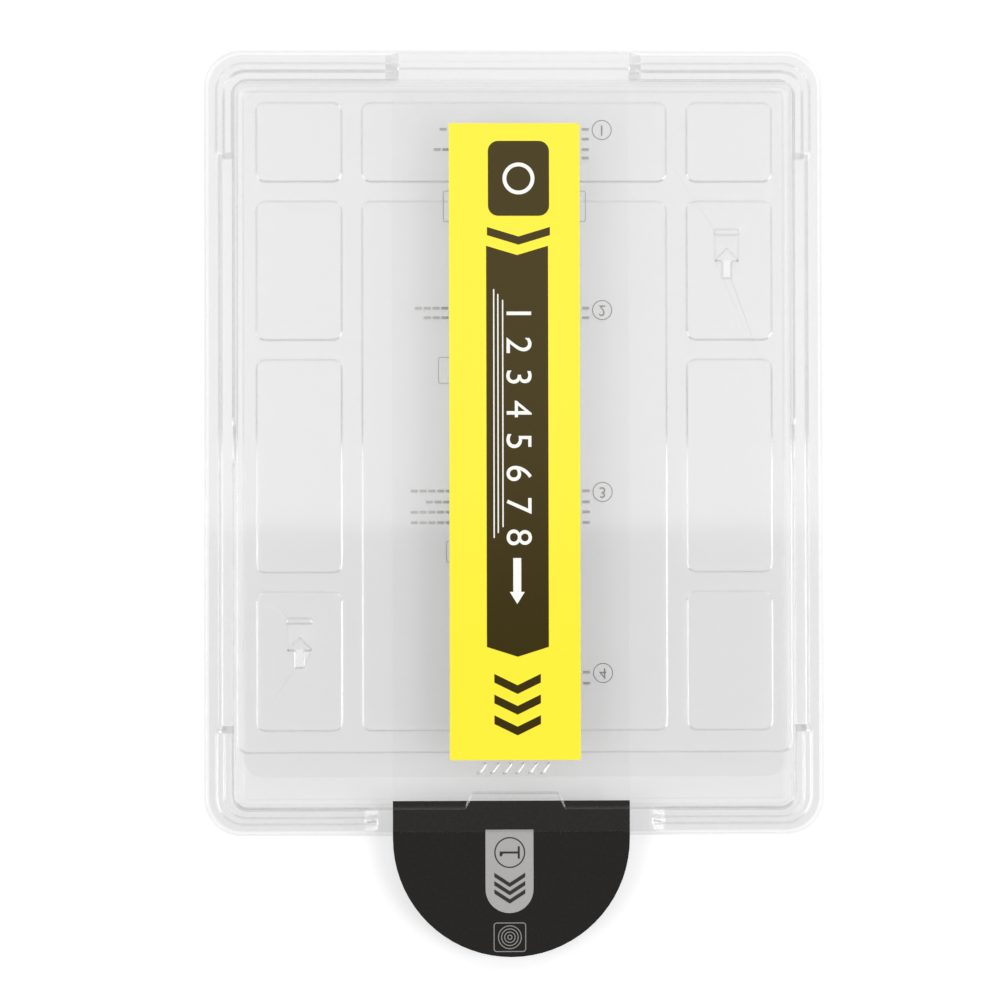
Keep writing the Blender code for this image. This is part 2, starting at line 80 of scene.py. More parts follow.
# %% [markdown]
# ## Millimetres, colours and nodes
# Blender works in metres, but sheet, film and print are thought of in millimetres, so every shape
# below is worked out in millimetres and turned to metres when its mesh is made. Colours are written as
# sRGB hex values, the way a screen shows them, while a render adds light up in linear values, so one
# function turns the one into the other. A second small function adds any node, sets its options and
# links its inputs, which keeps each material short enough to read as a recipe.

# %% Helpers for sizes, colours and nodes
MM = 0.001


def linear(hex_colour):
    """Turns an sRGB hex value such as "ffcc00" into a linear colour with alpha."""
    channels = [int(hex_colour[i:i + 2], 16) / 255 for i in (0, 2, 4)]
    return (*(c / 12.92 if c <= 0.04045 else ((c + 0.055) / 1.055) ** 2.4 for c in channels), 1.0)


def add_node(tree, kind, inputs=None, **options):
    """Adds a node with its options, and fills its inputs with values or other nodes' outputs."""
    node = tree.nodes.new(kind)
    for name, value in options.items():
        setattr(node, name, value)
    for key, value in (inputs or {}).items():
        if isinstance(value, bpy.types.NodeSocket):
            tree.links.new(value, node.inputs[key])
        else:
            node.inputs[key].default_value = value
    return node


def empty_material(name):
    """Starts a material with an empty node tree, and gives the tree and the object coordinates."""
    material = bpy.data.materials.new(name)
    material.use_nodes = True
    tree = material.node_tree
    tree.nodes.clear()
    place = add_node(tree, "ShaderNodeTexCoord").outputs["Object"]
    return material, tree, place


print("yellow fff04a in linear values:", [round(c, 3) for c in linear("fff04a")])

# %% [markdown]
# ## Clear vacuum-formed sheet
# The shells are PET sheet, 0.6 mm thick, softened with heat and sucked over a mould. Such sheet is
# clear and smooth, it mirrors about 4% of the light at each face and nearly all of it at a grazing
# look, and it is never quite flat: the mould's chill leaves waves a few centimetres long. Glass
# shaders bend light, which is slow and noisy with fourteen faces above each other and barely shows in
# sheet this thin. Here each face is instead a mix of a Transparent shader and a Glossy one, by
# Schlick's rule for how much a face mirrors. A bend in the real sheet also works as a small lens and
# shows the studio beside the box, so the mirror's share grows where the sheet's own surface slopes.
# That goes by the surface's slope, not by the look, so it stays put when the camera moves.

# %% The clear sheet's recipe
def clear_sheet(name, tint, lamp_tint, roughness, mirror, bend, wave_mm, wave_depth_mm):
    """A clear film: tinted see-through, with a share of mirror that grows edge-on and along bends."""
    material, tree, place = empty_material(name)
    waves = add_node(tree, "ShaderNodeTexNoise", {
        "Vector": place, "Scale": 1 / (wave_mm * MM), "Detail": 2.0, "Roughness": 0.4})
    bump = add_node(tree, "ShaderNodeBump", {
        "Strength": 1.0, "Distance": wave_depth_mm * MM, "Height": waves.outputs["Fac"]})
    facing = add_node(tree, "ShaderNodeLayerWeight", {"Blend": 0.5}).outputs["Facing"]
    fifth = add_node(tree, "ShaderNodeMath", {0: facing, 1: 5.0}, operation="POWER")
    edge_on = add_node(tree, "ShaderNodeMapRange", {
        "Value": fifth.outputs[0], "To Min": 0.04 * mirror, "To Max": 0.9 * mirror})
    normal = add_node(tree, "ShaderNodeSeparateXYZ", {
        0: add_node(tree, "ShaderNodeNewGeometry").outputs["Normal"]})
    level = add_node(tree, "ShaderNodeMath", {0: normal.outputs["Z"]}, operation="ABSOLUTE")
    slope = add_node(tree, "ShaderNodeMapRange", {
        "Value": level.outputs[0], "From Min": 0.985, "From Max": 0.75, "To Max": bend})
    share = add_node(tree, "ShaderNodeMath", {0: edge_on.outputs[0], 1: slope.outputs[0]}, operation="ADD")
    clear = add_node(tree, "ShaderNodeBsdfTransparent", {"Color": linear(tint)})
    gloss = add_node(tree, "ShaderNodeBsdfGlossy", {
        "Roughness": roughness, "Normal": bump.outputs["Normal"]})
    seen = clear if mirror == 0 else add_node(tree, "ShaderNodeMixShader", {
        0: share.outputs[0], 1: clear.outputs[0], 2: gloss.outputs[0]})
    shade = add_node(tree, "ShaderNodeBsdfTransparent", {"Color": linear(lamp_tint)})
    rays = add_node(tree, "ShaderNodeLightPath").outputs
    mix = add_node(tree, "ShaderNodeMixShader", {
        0: rays["Is Shadow Ray"], 1: seen.outputs[0], 2: shade.outputs[0]})
    add_node(tree, "ShaderNodeOutputMaterial", {"Surface": mix.outputs[0]})
    return material


# Scuffs are left out: the sheet in the photograph is new.
box_sheet = clear_sheet("clear_pet_sheet_vacuum_formed", "fcfcfc", "f9f9f9", 0.05, 1.0, 0.25, 28, 0.02)
cover_sheet = clear_sheet("clear_pet_cover_vacuum_formed", "fcfcfc", "f9f9f9", 0.07, 1.0, 0.08, 34, 0.02)
print("clear sheets:", box_sheet.name, "and", cover_sheet.name)

# %% [markdown]
# ## Glass and films
# The glass is tempered and polished, so it is flatter and glossier than the sheet. The silicone
# adhesive and the two films lie on it without air between, and where two clear layers touch, hardly
# anything is mirrored: only their outer faces and edges show. They get the same recipe with a small
# share of mirror. The strip below them is a loose film, so it mirrors like the sheet, but less, since
# it clings to the release film.

# %% Glass, adhesive, films
tempered_glass = clear_sheet("tempered_glass_polished", "fefefe", "fbfbfb", 0.03, 0.6, 0.1, 120, 0.01)
silicone = clear_sheet("silicone_adhesive_cast", "ffffff", "ffffff", 0.25, 0.0, 0.0, 9, 0.01)
top_film = clear_sheet("pet_film_extruded", "ffffff", "ffffff", 0.12, 0.0, 0.0, 40, 0.02)
liner_film = clear_sheet("release_film_siliconed", "ffffff", "ffffff", 0.16, 0.0, 0.0, 22, 0.02)
strip_film = clear_sheet("pull_strip_film_extruded", "fefefe", "fefefe", 0.10, 0.12, 0.0, 18, 0.03)
print("films: top, release and strip")

# %% [markdown]
# ## Foam tape
# Two clear acrylic foam tapes hold the glass to the roof. Foam tape is milky, because of its fine
# closed bubbles, about 0.3 mm across. It is a mix of a see-through shader and a dull white one, with
# noise at the bubbles' size in its bump.

# %% The foam tape's recipe
def foam_tape(name, colour, bubble_mm):
    material, tree, place = empty_material(name)
    bubbles = add_node(tree, "ShaderNodeTexVoronoi", {
        "Vector": place, "Scale": 1 / (bubble_mm * MM)})
    bump = add_node(tree, "ShaderNodeBump", {
        "Strength": 0.4, "Distance": bubble_mm * MM / 4, "Height": bubbles.outputs["Distance"]})
    foam = add_node(tree, "ShaderNodeBsdfPrincipled", {
        "Base Color": linear(colour), "Roughness": 0.55, "IOR": 1.47,
        "Normal": bump.outputs["Normal"]})
    clear = add_node(tree, "ShaderNodeBsdfTransparent", {"Color": linear("f6f6f4")})
    mix = add_node(tree, "ShaderNodeMixShader", {0: 0.6, 1: clear.outputs[0], 2: foam.outputs[0]})
    add_node(tree, "ShaderNodeOutputMaterial", {"Surface": mix.outputs[0]})
    return material


tape = foam_tape("acrylic_foam_tape", "e6e6e2", 0.3)
print("foam tape:", tape.name)

# %% [markdown]
# ## Opaque films, labels and inks
# The label is glossy printed film, the tab is black film, and the tag on it is a satin silver label.
# All are smooth plastics with an IOR near 1.5. What keeps them from looking like flat paint is slight:
# a long wave in the film that makes its gloss wander, fine grain in the roughness from coating and
# handling, and a print colour that varies by a few percent. One recipe serves them all, with the
# grain and the waves at each film's own size in millimetres. The brown ink is the glossiest, and its
# shine is tinted warm, as it looks in the photograph.

# %% The opaque film's recipe
def opaque_film(name, colour, second, roughness, grain_mm, wave_mm, wave_depth_mm,
                gloss=0.5, gloss_tint="ffffff"):
    """A coated or printed film: two close colours in a fine grain, with waves in its gloss."""
    material, tree, place = empty_material(name)
    grain = add_node(tree, "ShaderNodeTexNoise", {
        "Vector": place, "Scale": 1 / (grain_mm * MM), "Detail": 3.0, "Roughness": 0.6})
    waves = add_node(tree, "ShaderNodeTexNoise", {
        "Vector": place, "Scale": 1 / (wave_mm * MM), "Detail": 1.0})
    colours = add_node(tree, "ShaderNodeMix", {"Factor": grain.outputs["Fac"]}, data_type="RGBA")
    colours.inputs[6].default_value = linear(colour)
    colours.inputs[7].default_value = linear(second)
    dullness = add_node(tree, "ShaderNodeMapRange", {
        "Value": grain.outputs["Fac"], "From Min": 0.3, "From Max": 0.7,
        "To Min": roughness * 0.85, "To Max": roughness * 1.15})
    bump = add_node(tree, "ShaderNodeBump", {
        "Strength": 1.0, "Distance": wave_depth_mm * MM, "Height": waves.outputs["Fac"]})
    film = add_node(tree, "ShaderNodeBsdfPrincipled", {
        "Base Color": colours.outputs[2], "Roughness": dullness.outputs[0], "IOR": 1.5,
        "Specular IOR Level": gloss, "Specular Tint": linear(gloss_tint),
        "Normal": bump.outputs["Normal"]})
    add_node(tree, "ShaderNodeOutputMaterial", {"Surface": film.outputs[0]})
    return material


yellow_label = opaque_film("yellow_label_film_printed", "fff03c", "fdec38", 0.16, 0.9, 30, 0.02)
black_film = opaque_film("black_pet_film_glossy", "1c1a18", "242220", 0.16, 1.2, 35, 0.06)
silver_label = opaque_film("silver_label_satin", "a3a2a0", "aeadab", 0.38, 0.8, 24, 0.03)
brown_ink = opaque_film("brown_ink_screen_printed", "312604", "362b07", 0.18, 0.7, 30, 0.02,
                        gloss=0.65, gloss_tint="ffefbf")
white_ink = opaque_film("white_ink_screen_printed", "f7f5f0", "fbf9f5", 0.25, 0.7, 30, 0.02)
black_ink = opaque_film("black_ink_screen_printed", "2a2826", "32302d", 0.35, 0.7, 24, 0.02)
grey_ink = opaque_film("grey_ink_screen_printed", "8a8986", "92918e", 0.40, 0.7, 24, 0.02)
pale_ink = opaque_film("pale_grey_ink_screen_printed", "c4c3c0", "cccbc8", 0.40, 0.7, 24, 0.02)
print("films and inks:", len(bpy.data.materials), "materials so far")

# %% Give the CAD nodes that stay their finishes
FINISHES = {
    "tempered_glass": tempered_glass, "glass_adhesive": silicone, "glass_top_film": top_film,
    "holding_tape_far": tape, "holding_tape_near": tape, "pull_strip": strip_film,
    "pull_tab": black_film, "tab_tag": silver_label, "guide_label": yellow_label,
}
for node_name, finish in FINISHES.items():
    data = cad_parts[node_name].data
    data.materials.clear()
    data.materials.append(finish)
print("finished:", ", ".join(FINISHES))

# %% [markdown]
# ## The shells' plan
# The two shells follow one plan, which the CAD model fixes: a cavity for the tablet, a rim round it,
# and on the roof a shelf, a plateau and ten raised panels. The sizes are written again here, in
# millimetres. The CAD shells have sharp bends, as suits a model for measuring. A moulded sheet has
# soft ones, and they matter, because each catches a thin line of light. Instead of bevelling the CAD
# mesh, which leaves thin slivers, the shells are lofted again from the same sections with each bend
# rounded: first the middle of the sheet, which Solidify then thickens by half a sheet each way.

# %% Plan sizes and heights in millimetres
SHEET = 0.6
CAVITY_HALF, CAVITY_FAR, CAVITY_NEAR = 108.25, 139.75, -141.85
RIM_SIDE, RIM_FAR, RIM_NEAR = 12.5, 13.3, 11.2
RIM_RADIUS, CAVITY_RADIUS = 14.5, 5.0
PLATEAU_HALF, PLATEAU_FAR, PLATEAU_NEAR, PLATEAU_RADIUS = 107.55, 139.05, -120.35, 4.2
GRID_HALF, GRID_FAR, GRID_NEAR = 99.85, 131.35, -111.85
RIB, SIDE_PANEL, PANEL_RADIUS = 7.7, 32.9, 3.5
SIDE_PANEL_X = GRID_HALF - SIDE_PANEL / 2
CENTRE_PANEL_HALF = GRID_HALF - SIDE_PANEL - 8.0
ROW_SHARES = (0.139, 0.244, 0.374, 0.243)
FLANGE_Z, BEAD_Z, LEDGE_Z, RAISED_Z = 0.9, 2.3, 5.1, 8.6
SHELF_Z, PLATEAU_Z, PANEL_Z = 9.28, 10.08, 11.08
NOTCH_DEPTH, SIDE_BUMP, NEAR_LIP, FAR_BEAD = 6.0, 0.6, 0.6, 0.4
BEND, SOFT = 0.9 * SHEET, 0.35
STROKES, STROKE_PITCH, STROKE_SHIFT = 6, 4.9, -0.7


def panel_rows():
    """The near and far edges of the four rows of panels, the far row first."""
    room = GRID_FAR - GRID_NEAR - RIB * 3
    rows, far = [], GRID_FAR
    for share in ROW_SHARES:
        rows.append((far - share * room, far))
        far -= share * room + RIB
    return rows


print("panel rows:", [(round(near, 1), round(far, 1)) for near, far in panel_rows()])

# %% [markdown]
# ## Rounding a line of points
# Every bend is made the same way. A section starts as a line of sharp corners on the sheet's
# underside. It is first moved out by half the sheet, to the sheet's middle, and then each corner is
# swapped for a short curve that starts and ends a little way down each side. A quadratic Bezier curve
# does that in one line of sums, and it works for a section in the air and for an outline in plan.

# %% Functions for lines and outlines
def move_out(line, distance):
    """Moves an open line of points to its left by a distance, and keeps its corners sharp."""
    moved = []
    steps = [(after - before).normalized() for before, after in zip(line, line[1:])]
    for here, sides in zip(line, zip([steps[0], *steps], [*steps, steps[-1]])):
        lefts = [Vector((-side.y, side.x)) for side in sides]
        middle = (lefts[0] + lefts[-1]).normalized()
        moved.append(here + middle * distance / middle.dot(lefts[0]))
    return moved


def soften(line, reach, steps=5):
    """Rounds each inner corner of an open line with a curve that reaches a little down its sides."""
    soft = [line[0]]
    for before, here, after in zip(line, line[1:], line[2:]):
        start, end = (here.lerp(other, min(0.45, reach / (other - here).length))
                      for other in (before, after))
        for i in range(steps + 1):
            t = i / steps
            soft.append(start * (1 - t) ** 2 + here * 2 * t * (1 - t) + end * t * t)
    return soft + [line[-1]]


def soften_loop(outline, reach, steps=4):
    """Rounds every corner of a closed outline."""
    return soften([outline[-1], *outline, outline[0]], reach, steps)[1:-1]


def rounded_rectangle(left, right, near, far, radius, steps=10):
    """An anticlockwise outline with round corners, from the near right one."""
    outline = []
    for turn, (x, y) in enumerate(((right - radius, near + radius), (right - radius, far - radius),
                                   (left + radius, far - radius), (left + radius, near + radius))):
        for i in range(steps + 1):
            angle = math.radians(90 * (turn - 1 + i / steps))
            outline.append(Vector((x + radius * math.cos(angle), y + radius * math.sin(angle))))
    return outline


def shrink(outline, distance):
    """Moves every side of an anticlockwise outline inwards."""
    moved = []
    for i, here in enumerate(outline):
        before = (here - outline[i - 1]).normalized()
        after = (outline[(i + 1) % len(outline)] - here).normalized()
        lefts = [Vector((-side.y, side.x)) for side in (before, after)]
        middle = (lefts[0] + lefts[1]).normalized()
        moved.append(here + middle * distance / middle.dot(lefts[0]))
    return moved


print("a softened corner has", len(soften([Vector((0, 0)), Vector((1, 0)), Vector((1, 1))], 0.2)), "points")

# %% [markdown]
# ## Stations round the rim
# The rim changes on its way round: the flange rises over the tab's exit and at the far end, a ledge
# runs along each side, a thumb notch cuts into the near wall, and a small bump on each side centres
# the tablet. So the loft goes through stations, each with how much of every feature it has, from 0 to
# 1. Between two stops where a feature changes, ten stations make a ramp with a short flat at each end,
# and each corner has sixteen. The ramps are steep, so what they mirror is the white floor.

# %% The stations
Station = namedtuple("Station", "edge along raised ledge notch bump", defaults=(0, 0, 0, 0))


def along_edge(edge, stops, steps=10):
    """The stations along one edge, from stops with a place and the features' values there."""
    stations = [Station(edge, *stops[0])]
    for start, end in zip(stops, stops[1:]):
        if start[1:] != end[1:]:
            for i in range(1, steps):
                t = i / steps
                rise = min(max(1.25 * t - 0.125, 0), 1)
                values = [a + (b - a) * rise for a, b in zip(start[1:], end[1:])]
                stations.append(Station(edge, start[0] + (end[0] - start[0]) * t, *values))
        stations.append(Station(edge, *end))
    return stations


def mirrored(stops):
    """Stops for both halves of an edge, from those of its second half."""
    return [(-stop[0], *stop[1:]) for stop in reversed(stops)] + stops


def rim_stations():
    """All the stations, anticlockwise, starting along the near edge."""
    near = mirrored([(16.25, 1, 0, 1, 0), (19.75, 1, 0, 0, 0), (52.6, 1, 0, 0, 0), (58.9, 0, 0, 0, 0)])
    bump = mirrored([(6.4, 0, 1, 0, 1), (9.3, 0, 1, 0, 0)])
    side = [(-113.5, 0, 0, 0, 0), (-109.8, 0, 1, 0, 0), *bump, (109.7, 0, 1, 0, 0), (113.4, 0, 0, 0, 0)]
    far = mirrored([(44.2, 1, 0, 0, 0), (50.5, 0, 0, 0, 0)])
    stations = []
    for turn, (edge, stops) in enumerate((("near", near), ("right", side), ("far", far), ("left", side))):
        way = along_edge(edge, stops)
        stations += way if edge in ("near", "right") else way[::-1]
        corner = ("near right", "far right", "far left", "near left")[turn]
        stations += [Station(corner, 90 * (turn - 1 + i / 16)) for i in range(17)]
    return stations


def rim_place(station, across):
    """The plan position at a distance out from the cavity's wall; inside the wall it is negative."""
    out = max(across, 0) / RIM_SIDE
    half = CAVITY_HALF + across
    far = CAVITY_FAR + out * RIM_FAR + min(across, 0)
    near = CAVITY_NEAR - out * RIM_NEAR - min(across, 0)
    if station.edge in ("near", "far"):
        return station.along, near if station.edge == "near" else far
    if station.edge in ("left", "right"):
        return -half if station.edge == "left" else half, station.along
    radius = CAVITY_RADIUS + out * (RIM_RADIUS - CAVITY_RADIUS) + max(min(across, 0), -3.6)
    angle = math.radians(station.along)
    x = half - radius if "right" in station.edge else radius - half
    y = far - radius if "far" in station.edge else near + radius
    return x + radius * math.cos(angle), y + radius * math.sin(angle)


print("stations round the rim:", len(rim_stations()))

# %% [markdown]
# ## The loft
# A few functions turn sections and outlines into a mesh. Each ring of a section is one loop of
# vertices, quads join a ring to the next, and the flat parts between outlines are filled with
# triangles. A raised panel is a small loft of its own: a foot, a slope and a top, with soft bends.

# %% Functions that build the shells' meshes
def add_ring(mesh, points):
    """Adds a ring of vertices from points in millimetres."""
    return [mesh.verts.new(Vector(point) * MM) for point in points]


def join_rings(mesh, inner, outer):
    """Joins two rings with quads that face up or outwards."""
    for i, vertex in enumerate(inner):
        j = (i + 1) % len(inner)
        mesh.faces.new((vertex, outer[i], outer[j], inner[j]))


def fill_level(mesh, outline, holes=()):
    """Fills a level ring with triangles, leaving the rings inside it open."""
    edges = []
    for ring in (outline, *holes):
        for i, vertex in enumerate(ring):
            other = ring[(i + 1) % len(ring)]
            edges.append(mesh.edges.get((vertex, other)) or mesh.edges.new((vertex, other)))
    filled = bmesh.ops.triangle_fill(mesh, edges=edges, use_beauty=True, normal=Vector((0, 0, 1)))
    faces = [f for f in filled["geom"] if isinstance(f, bmesh.types.BMFace)]
    for face in faces:
        face.normal_update()
    bmesh.ops.reverse_faces(mesh, faces=[f for f in faces if f.normal.z < 0])


def raise_step(mesh, outline, height, step, draft, reach):
    """Adds a softly bent step up inside an outline, and gives its foot ring and its top ring."""
    line = [Vector(p) for p in ((reach, height), (0, height), (-draft, height + step),
                                (-draft - reach, height + step))]
    line = soften(move_out(line[::-1], SHEET / 2)[::-1], reach)
    rings = [add_ring(mesh, [(*p, z) for p in shrink(outline, -across)]) for across, z in line]
    for outer, inner in zip(rings, rings[1:]):
        join_rings(mesh, inner, outer)
    return rings[0], rings[-1]


def raise_mark(mesh, outline, height, step=0.5, draft=0.3):
    """Adds a small raised mark and gives its foot ring."""
    foot, top = raise_step(mesh, soften_loop([Vector(p) for p in outline], 0.5), height, step, draft, 0.1)
    fill_level(mesh, top)
    return foot


def raise_arrow(mesh, x, bar_y, height):
    """Adds a bar and an arrow that points to the far end, and gives their foot rings."""
    tip, neck, foot = bar_y - 6.4, bar_y - 11.4, bar_y - 18.0
    half, bar_half, stem_half = 4.65, 0.95, 1.7
    bar = ((x - half, bar_y - bar_half), (x + half, bar_y - bar_half),
           (x + half, bar_y + bar_half), (x - half, bar_y + bar_half))
    arrow = ((x, tip), (x - half, neck), (x - stem_half, neck), (x - stem_half, foot),
             (x + stem_half, foot), (x + stem_half, neck), (x + half, neck))
    return [raise_mark(mesh, bar, height), raise_mark(mesh, arrow, height)]


def finish_shell(name, mesh, material, body, node):
    """Makes the object, thickens its sheet, keeps its ends sharp, and puts it in its node's place."""
    data = bpy.data.meshes.new(name)
    mesh.normal_update()
    mesh.to_mesh(data)
    mesh.free()
    data.materials.append(material)
    data.polygons.foreach_set("use_smooth", [True] * len(data.polygons))
    shell = bpy.data.objects.new(name, data)
    bpy.context.scene.collection.objects.link(shell)
    thick = shell.modifiers.new("sheet", "SOLIDIFY")
    thick.thickness, thick.offset = SHEET * MM, 0.0
    thick.use_quality_normals = True
    ends = shell.modifiers.new("ends", "EDGE_SPLIT")
    ends.split_angle = math.radians(50)
    flats = shell.modifiers.new("flats", "WEIGHTED_NORMAL")
    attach(shell, body)
    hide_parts(node)
    print(name, "has", len(data.polygons), "faces before it is thickened")
    return shell


# %% [markdown]
# ## The top box
# Its wall drops from the roof to the flange. A plain stretch of rim has a flat, a bead and another
# flat. Along the sides a ledge takes the bead's place, and at the exits the flange stays high. Each
# station's section is the mean of those three, weighted by its features. Along the near end the roof's
# lip is bent more widely, which shows as a dark line there.

# %% Form the top box
def box_section(station):
    """The top box's section at one station, from the roof's lip to the flange's edge."""
    step = (SHELF_Z + RAISED_Z) / 2
    raised_bead = RAISED_Z + (FAR_BEAD if station.edge == "far" else 0)
    rows = (
        ((0, 0.02, 0.10, 0.14, 0.36, 0.42, 0.56, 0.62, 0.84),
         (SHELF_Z, SHELF_Z - BEND, FLANGE_Z + BEND, FLANGE_Z, FLANGE_Z, BEAD_Z, BEAD_Z,
          FLANGE_Z, FLANGE_Z)),
        ((0, 0.02, 0.05, 0.09, 0.40, 0.44, 0.50, 0.54, 0.84),
         (SHELF_Z, SHELF_Z - BEND, LEDGE_Z + BEND, LEDGE_Z, LEDGE_Z, LEDGE_Z - BEND, FLANGE_Z + BEND,
          FLANGE_Z, FLANGE_Z)),
        ((0, 0.02, 0.045, 0.08, 0.36, 0.42, 0.56, 0.62, 0.84),
         (SHELF_Z, step, RAISED_Z, RAISED_Z, RAISED_Z, raised_bead, raised_bead, RAISED_Z, RAISED_Z)),
    )
    weights = (1 - station.ledge - station.raised, station.ledge, station.raised)
    lip = NEAR_LIP if station.edge == "near" else 0
    if station.edge in ("near right", "near left"):
        lip = -NEAR_LIP * math.sin(math.radians(station.along))
    line = [Vector((-0.12 - lip, SHELF_Z))]
    for i in range(9):
        share = sum(w * shares[i] for w, (shares, heights) in zip(weights, rows))
        height = sum(w * heights[i] for w, (shares, heights) in zip(weights, rows))
        line.append(Vector((share * RIM_SIDE - SIDE_BUMP * station.bump * (0 < i < 3), height)))
    line[1].x -= lip
    for point in line[:5]:
        point.x -= NOTCH_DEPTH * station.notch
    return soften(move_out(line, SHEET / 2), SOFT)


def form_top_box():
    """Lofts the rim and wall, then fills in the shelf, the plateau and the panels."""
    mesh = bmesh.new()
    stations = rim_stations()
    sections = [box_section(station) for station in stations]
    rings = [add_ring(mesh, [(*rim_place(station, section[i].x), section[i].y)
                             for station, section in zip(stations, sections)])
             for i in range(len(sections[0]))]
    for inner, outer in zip(rings, rings[1:]):
        join_rings(mesh, inner, outer)
    strokes = []
    for i in range(STROKES):
        x = (i - (STROKES - 1) / 2) * STROKE_PITCH + STROKE_SHIFT
        stroke = ((x - 2.1, -128.7), (x - 0.6, -128.7), (x + 2.1, -124.5), (x + 0.6, -124.5))
        strokes.append(raise_mark(mesh, stroke, SHELF_Z, step=0.3, draft=0.5))
    plateau = rounded_rectangle(-PLATEAU_HALF, PLATEAU_HALF, PLATEAU_NEAR, PLATEAU_FAR, PLATEAU_RADIUS)
    plateau_foot, plateau_top = raise_step(mesh, plateau, SHELF_Z, PLATEAU_Z - SHELF_Z, 0.4, SOFT)
    fill_level(mesh, rings[0], [plateau_foot, *strokes])
    rows = panel_rows()
    spans = [(x - SIDE_PANEL / 2, x + SIDE_PANEL / 2, *row)
             for x in (-SIDE_PANEL_X, SIDE_PANEL_X) for row in rows]
    spans += [(-CENTRE_PANEL_HALF, CENTRE_PANEL_HALF, *row) for row in (rows[0], (rows[3][0], rows[1][1]))]
    feet = []
    for i, span in enumerate(spans):
        outline = rounded_rectangle(*span, PANEL_RADIUS)
        foot, top = raise_step(mesh, outline, PLATEAU_Z, PANEL_Z - PLATEAU_Z, 0.4, 0.4)
        feet.append(foot)
        marks = raise_arrow(mesh, -SIDE_PANEL_X, rows[3][1] - 11.0, PANEL_Z) if i == 3 else []
        fill_level(mesh, top, marks)
    fill_level(mesh, plateau_top, feet)
    return finish_shell("top_box_sheet", mesh, box_sheet, "top", "top_box")


top_box_sheet = form_top_box()

# %% [markdown]
# ## The bottom cover
# The cover is a flat tray. Its lip stands just outside the flange, and a low ridge fits inside the
# cavity's wall, so that the two shells can't slide over each other. It is lofted through the same
# stations, without their features, because its plan is plain.

# %% Form the bottom cover
def form_bottom_cover():
    """Lofts the ridge, the tray and the lip, and fills in the floor."""
    mesh = bmesh.new()
    stations = rim_stations()
    ridge = [(-3.6, 0.0), (-3.0, 0.0), (-2.4, 1.4), (-1.2, 1.4), (-0.6, 0.0)]
    lip = [(11.75, 0.0), (12.375, BEND), (12.5, 2.4)]
    line = soften(move_out([Vector(point) for point in ridge + lip], SHEET / 2), 0.3)
    rings = [add_ring(mesh, [(*rim_place(station, across), height) for station in stations])
             for across, height in line]
    for inner, outer in zip(rings, rings[1:]):
        join_rings(mesh, inner, outer)
    marks = raise_arrow(mesh, SIDE_PANEL_X, panel_rows()[1][1] - 11.0, 0.0)
    fill_level(mesh, rings[0], marks)
    return finish_shell("bottom_cover_sheet", mesh, cover_sheet, "cover", "bottom_cover")


bottom_cover_sheet = form_bottom_cover()

# %% [markdown]
# ## The release film
# When the tab is pulled, the film peels off the glass from its far end, folded back on itself, so at
# the end of the pull it covers only the near half. The CAD solid stays as it is, and a mesh of the
# same film takes its place here.

# %% Make the release film
def make_release_film():
    """A thin rounded plate in the CAD film's own box, which takes that film's place."""
    low, high = (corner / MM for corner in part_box("release_liner"))
    outline = rounded_rectangle(low.x, high.x, low.y, high.y, 8.5)
    mesh = bmesh.new()
    bottom = add_ring(mesh, [(*p, low.z) for p in outline])
    top = add_ring(mesh, [(*p, high.z) for p in outline])
    join_rings(mesh, top, bottom)
    mesh.faces.new(top)
    mesh.faces.new(bottom[::-1])
    data = bpy.data.meshes.new("release_film")
    mesh.to_mesh(data)
    mesh.free()
    data.materials.append(liner_film)
    film = bpy.data.objects.new("release_film", data)
    bpy.context.scene.collection.objects.link(film)
    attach(film, "glass")
    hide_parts("release_liner")
    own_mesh(film)
    return film


release_film = make_release_film()
print("release film:", [round(v / MM, 1) for v in release_film.dimensions], "mm")

# %% [markdown]
# ## Printing
# Ink is a film about 0.02 mm thick on the label or the strip. A 2D curve with a small extrude is the
# easiest way to make it: an outline inside another is cut out of it by itself, so a ring or a frame
# needs nothing more. Digits are text objects laid flat in the same way. Lettering on the real label
# names its maker, so it is left off, and plain numbers stand in its place as on a scale.

# %% Functions for printed shapes
INK = 0.02


def lay_ink(name, curve, bottom, ink, body):
    """Turns a curve into a thin layer of ink at a height, on a body."""
    curve.fill_mode = "BOTH" if curve.dimensions == "2D" else "FRONT"
    curve.extrude = INK * MM / 2
    curve.materials.append(ink)
    layer = bpy.data.objects.new(name, curve)
    bpy.context.scene.collection.objects.link(layer)
    layer.location.z = (bottom + INK / 2) * MM
    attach(layer, body)
    return layer


def print_shapes(name, outlines, bottom, ink, body):
    """Prints closed outlines; one inside another is a hole."""
    curve = bpy.data.curves.new(name, "CURVE")
    curve.dimensions = "2D"
    for outline in outlines:
        spline = curve.splines.new("POLY")
        spline.points.add(len(outline) - 1)
        for point, (x, y) in zip(spline.points, outline):
            point.co = (x * MM, y * MM, 0, 1)
        spline.use_cyclic_u = True
    return lay_ink(name, curve, bottom, ink, body)


def ring(x, y, radius, width, steps=48):
    """The two outlines of a printed circle."""
    return [[(x + r * math.cos(math.tau * i / steps), y + r * math.sin(math.tau * i / steps))
             for i in range(steps)] for r in (radius, radius - width)]


def rectangle(left, right, near, far):
    """The outline of a plain rectangle."""
    return [(left, near), (right, near), (right, far), (left, far)]


def chevron(x, half, side_y, drop, width):
    """The outline of a V that points to the near end."""
    return [(x - half, side_y), (x - half, side_y - width), (x, side_y - drop - width),
            (x + half, side_y - width), (x + half, side_y), (x, side_y - drop)]


